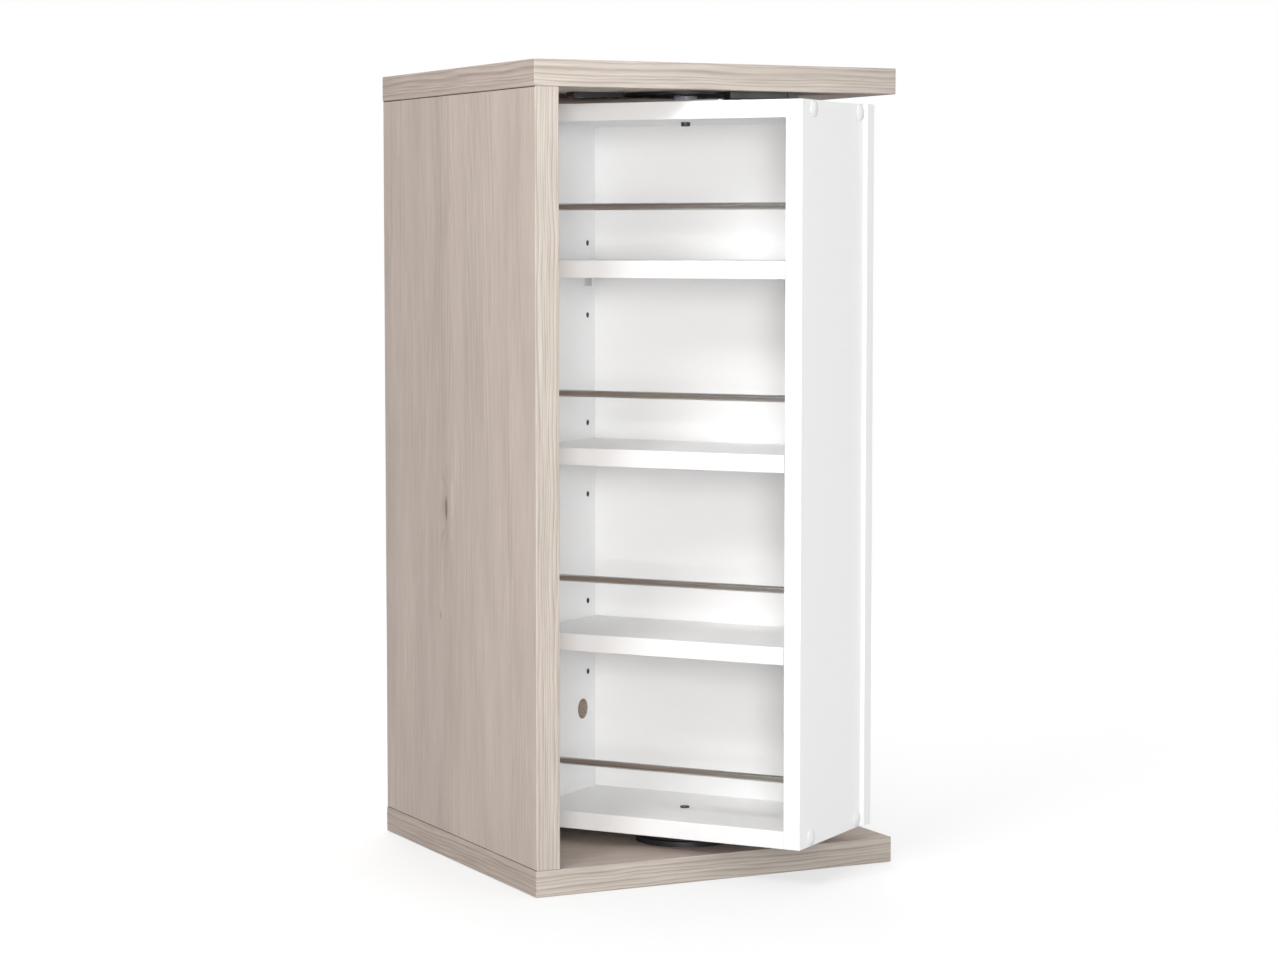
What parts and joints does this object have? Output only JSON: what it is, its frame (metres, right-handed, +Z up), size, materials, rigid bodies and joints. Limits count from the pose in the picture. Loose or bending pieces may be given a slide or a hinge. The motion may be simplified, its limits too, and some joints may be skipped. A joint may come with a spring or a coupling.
{
  "type": "swivel bathroom cabinet",
  "caption": "Open-sided wood-decor casing with a white shelf unit turning half a turn inside it on a turntable; guard rails in front of the shelves, mirror on the back.",
  "frame": {"origin": "centre of the underside of the casing's bottom panel", "axes": "+Z up, +Y back towards the wall, +X to the right along the front, where the casing is open"},
  "size_m": [0.34, 0.4033, 0.687],
  "materials": {
    "wood_decor": "light larch decor foil on board, fine straight grain",
    "white_board": "white melamine-faced board, satin",
    "dowel_wood": "fluted beech",
    "zinc": "zinc-plated steel",
    "rail_steel": "brushed stainless rod",
    "dark_steel": "black-finished steel",
    "black_plastic": "moulded, fine grain",
    "dark_plastic": "moulded, fine grain",
    "grey_plastic": "moulded nylon",
    "white_plastic": "moulded, slight gloss",
    "brass": "turned",
    "mirror": "silvered float glass with a bevelled edge"
  },
  "bodies": {
    "casing": {"casing_top_panel": "wood_decor", "casing_bottom_panel": "wood_decor", "casing_left_panel": "wood_decor", "casing_back_panel": "wood_decor", "casing_dowels": "dowel_wood", "cam_housings": "zinc", "cam_bolts": "zinc", "top_bearing_disc": "black_plastic", "bearing_disc_screws": "zinc", "top_pivot_bush": "grey_plastic", "catch_housing": "black_plastic", "catch_pole_strips": "zinc", "anti_tilt_pad": "dark_plastic", "catch_and_pad_screws": "zinc", "turntable_base": "black_plastic", "turntable_base_screws": "zinc", "turntable_balls": "zinc"},
    "shelf_unit": {"unit_left_side": "white_board", "unit_right_side": "white_board", "unit_top_board": "white_board", "unit_bottom_board": "white_board", "unit_back_board": "white_board", "mirror_glass": "mirror", "shelf_lower": "white_board", "shelf_middle": "white_board", "shelf_upper": "white_board", "shelf_supports": "zinc", "guard_rail_1": "rail_steel", "guard_rail_2": "rail_steel", "guard_rail_3": "rail_steel", "guard_rail_4": "rail_steel", "cover_caps": "white_plastic", "carcase_screws": "zinc", "back_board_dowels": "dowel_wood", "top_pivot_bolt": "dark_steel", "top_pivot_insert": "brass", "top_pivot_spacer": "grey_plastic", "catch_plates": "zinc", "catch_plate_screws": "zinc", "turntable_top": "black_plastic", "turntable_top_screws": "zinc", "turntable_stop_pin": "zinc", "bottom_pivot_bolt": "zinc", "bottom_pivot_ring": "black_plastic"}
  },
  "joints": [
    {"name": "swivel", "type": "hinge", "parent": "casing", "child": "shelf_unit", "pos_m": [0.006, -0.0905, 0.022], "axis": [0, 0, 1], "range_deg": [-126, 54]}
  ]
}
